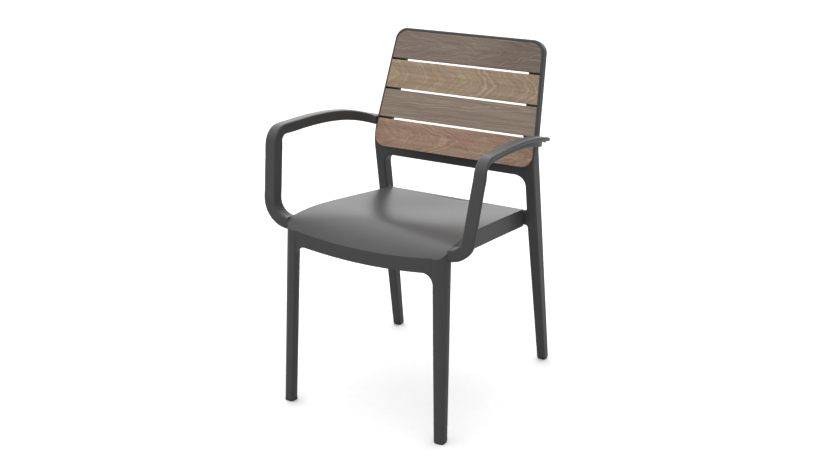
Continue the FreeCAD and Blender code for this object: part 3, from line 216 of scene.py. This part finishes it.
class Graph:
    """The node graph of a material or of the world."""

    def __init__(self, owner):
        self.owner = owner
        self.tree = owner.node_tree
        self.shader = self.tree.nodes.get("Principled BSDF")

    def join(self, source, socket):
        """Link a socket, or set a plain value."""
        if isinstance(source, bpy.types.NodeSocket):
            self.tree.links.new(source, socket)
        else:
            socket.default_value = source

    def add(self, kind):
        return self.tree.nodes.new(kind)

    def object_place(self):
        return self.add("ShaderNodeTexCoord").outputs["Object"]

    def seen_by_camera(self):
        """1 on rays that come from the camera itself, and 0 on rays that have bounced."""
        return self.add("ShaderNodeLightPath").outputs["Is Camera Ray"]

    def math(self, operation, first, second=0.0):
        node = self.add("ShaderNodeMath")
        node.operation = operation
        self.join(first, node.inputs[0])
        self.join(second, node.inputs[1])
        return node.outputs[0]

    def total(self, first, *others):
        """The sum of several values."""
        result = first
        for other in others:
            result = self.math("ADD", result, other)
        return result

    def vector_node(self, operation, first, second):
        node = self.add("ShaderNodeVectorMath")
        node.operation = operation
        self.join(first, node.inputs[0])
        self.join(second, node.inputs[1])
        return node

    def vector(self, operation, first, second):
        return self.vector_node(operation, first, second).outputs["Vector"]

    def along(self, place, direction):
        """How far a place lies along a direction."""
        return self.vector_node("DOT_PRODUCT", place, direction).outputs["Value"]

    def noise(self, place, scale, detail=3.0, roughness=0.5):
        node = self.add("ShaderNodeTexNoise")
        self.join(place, node.inputs["Vector"])
        node.inputs["Scale"].default_value = scale
        node.inputs["Detail"].default_value = detail
        node.inputs["Roughness"].default_value = roughness
        return node.outputs["Fac"]

    def bands(self, value, detail):
        """Bands of uneven width and strength along a value, about one to each unit of it."""
        node = self.add("ShaderNodeTexNoise")
        node.noise_dimensions = "1D"
        self.join(value, node.inputs["W"])
        node.inputs["Scale"].default_value = 1.0
        node.inputs["Detail"].default_value = detail
        return node.outputs["Fac"]

    def remap(self, value, before, after, interpolation="LINEAR"):
        """A value taken from one range to another; each range is (low, high)."""
        node = self.add("ShaderNodeMapRange")
        node.interpolation_type = interpolation
        self.join(value, node.inputs["Value"])
        node.inputs["From Min"].default_value, node.inputs["From Max"].default_value = before
        node.inputs["To Min"].default_value, node.inputs["To Max"].default_value = after
        return node.outputs["Result"]

    def spread(self, noise, low, high):
        """A noise spread over a range."""
        return self.remap(noise, NOISE_RANGE, (low, high))

    def ramp(self, value, stops):
        """A colour ramp; each stop is (place, colour)."""
        node = self.add("ShaderNodeValToRGB")
        self.join(value, node.inputs["Fac"])
        elements = node.color_ramp.elements
        while len(elements) < len(stops):
            elements.new(1.0)
        for element, (place, colour) in zip(elements, stops):
            element.position = place
            element.color = (*colour, 1.0)
        return node.outputs["Color"]

    def mottle(self, noise, colour, darkest, lightest):
        """A colour that a noise makes darker and lighter by two factors."""
        low, high = NOISE_RANGE
        return self.ramp(noise, [(low, scaled(colour, darkest)), (high, scaled(colour, lightest))])

    def shade(self, colour, factor):
        """A colour made darker or lighter by a factor that varies over the surface."""
        node = self.add("ShaderNodeMix")
        node.data_type = "RGBA"
        node.blend_type = "MULTIPLY"
        node.inputs["Factor"].default_value = 1.0
        self.join(colour, node.inputs["A"])
        self.join(factor, node.inputs["B"])
        return node.outputs["Result"]

    def bump(self, height, depth, before=None):
        """Surface relief of a given depth; before is the relief it adds to."""
        node = self.add("ShaderNodeBump")
        node.inputs["Distance"].default_value = depth
        self.join(height, node.inputs["Height"])
        if before is not None:
            self.join(before, node.inputs["Normal"])
        return node.outputs["Normal"]

    def finish(self, colour, roughness, normal):
        """Put the results on the material's shader, and give the material back."""
        self.join(colour, self.shader.inputs["Base Color"])
        self.join(roughness, self.shader.inputs["Roughness"])
        self.join(normal, self.shader.inputs["Normal"])
        return self.owner


def put_on(node_name, material):
    """Give a CAD node one finish all over."""
    piece = NODES[node_name]
    piece.data.materials.clear()
    piece.data.materials.append(material)


# Finishes of the mouldings, the fasteners and the glides.

def resin_finish(settings):
    """Moulded resin: a dark satin with a fine mould grain and faint clouding."""
    graph = Graph(new_material("resin"))
    place = graph.object_place()
    clouding = graph.noise(place, scale=22, detail=4)
    polish = graph.noise(place, scale=180, detail=4, roughness=0.6)
    grain = graph.noise(place, scale=1 / settings.grain_size, detail=2)
    colour = graph.mottle(clouding, settings.colour, darkest=0.96, lightest=1.04)
    roughness = graph.spread(
        polish, low=settings.roughness - settings.polish, high=settings.roughness + settings.polish)
    graph.shader.inputs["IOR"].default_value = settings.ior
    return graph.finish(colour, roughness, graph.bump(grain, settings.grain_depth))


def steel_finish(settings):
    """Plain stainless steel with fine turning marks."""
    graph = Graph(new_material("stainless_steel"))
    place = graph.object_place()
    stain = graph.noise(place, scale=260)
    marks = graph.noise(place, scale=2400, detail=2)
    colour = graph.mottle(stain, settings.steel_colour, darkest=0.85, lightest=1.1)
    roughness = graph.spread(marks, low=0.28, high=0.42)
    graph.shader.inputs["Metallic"].default_value = 1.0
    return graph.finish(colour, roughness, graph.bump(marks, depth=0.00002))


def glide_finish(settings):
    """Hard rubber, scuffed from standing on the floor."""
    graph = Graph(new_material("glide_rubber"))
    clean = settings.glide_colour
    scuffs = graph.noise(graph.object_place(), scale=320, detail=4, roughness=0.65)
    colour = graph.ramp(scuffs, [(0.4, clean), (0.75, scaled(clean, 2.2))])
    roughness = graph.spread(scuffs, low=0.55, high=0.8)
    return graph.finish(colour, roughness, graph.bump(scuffs, depth=0.00008))


# Finish of the wooden slats.

def board_middle(node_name):
    low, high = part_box(node_name)
    return (low + high) / 2


def slat_lean():
    """How far the row of slats leans back from upright."""
    low = board_middle(SLATS[0])
    high = board_middle(SLATS[-1])
    return math.atan2(high.y - low.y, high.z - low.z)


def board_place(graph, node_name):
    """Place on a board: along its length, up its face and out of its face, from its middle."""
    from_middle = graph.vector("SUBTRACT", graph.object_place(), board_middle(node_name))
    turn = graph.add("ShaderNodeVectorRotate")
    turn.rotation_type = "X_AXIS"
    turn.inputs["Angle"].default_value = slat_lean() - math.pi / 2
    graph.join(from_middle, turn.inputs["Vector"])
    return turn.outputs["Vector"]


def grain_noise(graph, place, fineness, detail, seed):
    """Noise with its own fineness along, up and out of a board."""
    stretched = graph.vector("MULTIPLY", place, fineness)
    moved = graph.vector("ADD", stretched, [step * seed for step in SEED_STEP])
    return graph.noise(moved, scale=1.0, detail=detail)


def growth_rings(graph, place, cut):
    """How pale the growth ring at a point is; the rings run along the board in a pointed flame."""
    parts = graph.add("ShaderNodeSeparateXYZ")
    graph.join(place, parts.inputs[0])
    along, up, out = parts.outputs
    long_wave = grain_noise(graph, place, LONG_WAVES, detail=2, seed=cut.seed + 6)
    short_wave = grain_noise(graph, place, SHORT_WAVES, detail=3, seed=cut.seed + 8)
    sway = graph.remap(long_wave, (0, 1), (-SWAY * cut.waver, SWAY * cut.waver))
    waver = graph.remap(short_wave, (0, 1), (-cut.waver, cut.waver))
    height = graph.total(up, -cut.flame_height, sway)
    aside = graph.math("SQRT", graph.total(graph.math("MULTIPLY", height, height), FLAME_TIP ** 2))
    radius = graph.total(aside, graph.math("MULTIPLY", along, cut.steepness), out, waver)
    return graph.bands(graph.total(graph.math("DIVIDE", radius, cut.ring_width), cut.seed), detail=2)


def ring_colour(graph, place, cut, settings):
    """The board's tone, duller between its growth rings and paler on them."""
    tone = getattr(settings, cut.tone)
    figure = settings.figure * cut.figure
    stops = [(noise, scaled(tone, 1 + share * figure)) for noise, share in RING_STOPS]
    return graph.ramp(growth_rings(graph, place, cut), stops)


def wood_finish(node_name, settings):
    """One board: pale growth rings in a flame, streaks along the grain, patches, fibres and open pores."""
    cut = BOARD_CUTS[node_name]
    graph = Graph(new_material(node_name + "_wood"))
    place = board_place(graph, node_name)
    pore_fineness = (1 / settings.pore_length, PORES_ACROSS, PORES_ACROSS)
    streaks = grain_noise(graph, place, STREAKS, detail=4, seed=cut.seed)
    fibres = grain_noise(graph, place, FIBRES, detail=4, seed=cut.seed + 1)
    pores = grain_noise(graph, place, pore_fineness, detail=2, seed=cut.seed + 2)
    patches = grain_noise(graph, place, PATCHES, detail=3, seed=cut.seed + 4)
    to_the_right = graph.along(place, (1, 0, 0))
    shades = (
        graph.spread(streaks, low=0.84, high=1.12),
        graph.spread(fibres, low=0.88, high=1.10),
        graph.ramp(patches, [RED_PATCH, YELLOW_PATCH]),
        graph.remap(pores, PORE_NOISE, PORE_SHADE),
        graph.remap(to_the_right, END_SPAN, (1.0, cut.end_shade)),
    )
    colour = ring_colour(graph, place, cut, settings)
    for shade in shades:
        colour = graph.shade(colour, shade)
    roughness = graph.spread(fibres, low=0.62, high=0.48)
    relief = graph.bump(pores, depth=0.0002)
    relief = graph.bump(fibres, depth=0.0001, before=relief)
    return graph.finish(colour, roughness, relief)


class ARMCHAIR_OT_mouldings(bpy.types.Operator):
    """Finish the back frame, the seat with its front legs and the armrests"""
    bl_idname = "armchair.mouldings"
    bl_label = "Resin Mouldings"

    def execute(self, context):
        resin = resin_finish(context.scene.armchair_resin)
        for name in MOULDINGS:
            put_on(name, resin)
        return {"FINISHED"}


class ARMCHAIR_OT_slats(bpy.types.Operator):
    """Finish the four wooden back slats, each cut from its own board"""
    bl_idname = "armchair.slats"
    bl_label = "Wooden Slats"

    def execute(self, context):
        for name in SLATS:
            put_on(name, wood_finish(name, context.scene.armchair_wood))
        return {"FINISHED"}


class ARMCHAIR_OT_hardware(bpy.types.Operator):
    """Finish the screws, bolts, nuts and glides"""
    bl_idname = "armchair.hardware"
    bl_label = "Hardware"

    def execute(self, context):
        settings = context.scene.armchair_hardware
        steel = steel_finish(settings)
        rubber = glide_finish(settings)
        for name in FASTENERS:
            put_on(name, steel)
        for name in GLIDES:
            put_on(name, rubber)
        return {"FINISHED"}


# Studio.

def floor_finish(settings):
    """Matt paint that throws less light back at the chair than it shows the camera."""
    graph = Graph(new_material("studio_floor"))
    speckle = graph.noise(graph.object_place(), scale=40)
    paint = graph.mottle(speckle, settings.floor_colour, darkest=0.99, lightest=1.01)
    bounce = graph.remap(graph.seen_by_camera(), (0, 1), (settings.floor_bounce, 1))
    graph.shader.inputs["Specular IOR Level"].default_value = 0.1
    return graph.finish(graph.shade(paint, bounce), roughness=0.9, normal=graph.bump(speckle, depth=0.0001))


def add_floor(settings):
    """A wide pale floor under the chair."""
    mesh = bpy.data.meshes.new("studio_floor")
    corners = [(x * FLOOR_REACH, y * FLOOR_REACH, 0) for x, y in ((-1, -1), (1, -1), (1, 1), (-1, 1))]
    mesh.from_pydata(corners, [], [(0, 1, 2, 3)])
    mesh.materials.append(floor_finish(settings))
    floor = bpy.data.objects.new("studio_floor", mesh)
    bpy.context.scene.collection.objects.link(floor)


def soft_light(graph, direction, source, edge, brightness):
    """Extra light from round one direction, softly fading out."""
    return graph.remap(graph.along(direction, source), edge, (0, brightness), "SMOOTHSTEP")


def light_strength(graph, settings):
    """Soft light from all round, stronger from the front left, from behind and from above."""
    direction = graph.add("ShaderNodeTexCoord").outputs["Generated"]
    dim = settings.fill_light * (1 - settings.fill_slope)
    bright = settings.fill_light * (1 + settings.fill_slope)
    fill = graph.remap(graph.along(direction, FILL_FROM), (-1, 1), (dim, bright))
    behind = soft_light(graph, direction, BACK_LIGHT_FROM, BACK_LIGHT_EDGE, settings.back_light)
    above = soft_light(graph, direction, TOP_LIGHT_FROM, TOP_LIGHT_EDGE, settings.top_light)
    return graph.total(behind, above, fill)


def add_sky(settings):
    """The studio's light, with a white backdrop where the camera looks past the chair."""
    world = bpy.data.worlds.new("studio")
    world.use_nodes = True
    graph = Graph(world)
    light = world.node_tree.nodes["Background"]
    light.inputs["Color"].default_value = WHITE
    graph.join(light_strength(graph, settings), light.inputs["Strength"])
    backdrop = graph.add("ShaderNodeBackground")
    backdrop.inputs["Color"].default_value = WHITE
    choice = graph.add("ShaderNodeMixShader")
    graph.join(graph.seen_by_camera(), choice.inputs[0])
    graph.join(light.outputs[0], choice.inputs[1])
    graph.join(backdrop.outputs[0], choice.inputs[2])
    graph.join(choice.outputs[0], world.node_tree.nodes["World Output"].inputs["Surface"])
    bpy.context.scene.world = world


def add_camera(settings):
    """A camera on the photograph's line of sight."""
    data = bpy.data.cameras.new("camera")
    data.lens = settings.lens
    data.sensor_width = SENSOR_WIDTH
    data.sensor_fit = "HORIZONTAL"
    level = math.cos(settings.elevation)
    direction = Vector((math.sin(settings.azimuth) * level, -math.cos(settings.azimuth) * level,
                        math.sin(settings.elevation)))
    camera = bpy.data.objects.new("camera", data)
    camera.location = Vector(settings.target) + direction * settings.distance
    camera.rotation_euler = (-direction).to_track_quat("-Z", "Y").to_euler()
    bpy.context.scene.collection.objects.link(camera)
    bpy.context.scene.camera = camera


class ARMCHAIR_OT_stage(bpy.types.Operator):
    """Set up the floor, the lights and the camera"""
    bl_idname = "armchair.stage"
    bl_label = "Studio"

    def execute(self, context):
        settings = context.scene.armchair_stage
        add_floor(settings)
        add_sky(settings)
        add_camera(settings)
        context.scene.view_settings.view_transform = "Standard"
        return {"FINISHED"}


class ARMCHAIR_PT_sidebar(bpy.types.Panel):
    """Lists the chair's finishing steps"""
    bl_idname = "ARMCHAIR_PT_sidebar"
    bl_label = "Garden Armchair"
    bl_space_type = "VIEW_3D"
    bl_region_type = "UI"
    bl_category = "Armchair"

    def draw(self, context):
        for step in STEPS:
            self.layout.operator(step.bl_idname)


GROUPS = {
    "armchair_resin": ResinSettings,
    "armchair_wood": WoodSettings,
    "armchair_hardware": HardwareSettings,
    "armchair_stage": StageSettings,
}
STEPS = (ARMCHAIR_OT_mouldings, ARMCHAIR_OT_slats, ARMCHAIR_OT_hardware, ARMCHAIR_OT_stage)


def register():
    for group in GROUPS.values():
        bpy.utils.register_class(group)
    for name, group in GROUPS.items():
        setattr(bpy.types.Scene, name, PointerProperty(type=group))
    for step in STEPS:
        bpy.utils.register_class(step)
    bpy.utils.register_class(ARMCHAIR_PT_sidebar)


def unregister():
    bpy.utils.unregister_class(ARMCHAIR_PT_sidebar)
    for step in reversed(STEPS):
        bpy.utils.unregister_class(step)
    for name, group in GROUPS.items():
        delattr(bpy.types.Scene, name)
        bpy.utils.unregister_class(group)


def main():
    register()
    bpy.ops.armchair.mouldings()
    bpy.ops.armchair.slats()
    bpy.ops.armchair.hardware()
    bpy.ops.armchair.stage()


if __name__ == "__main__":
    main()
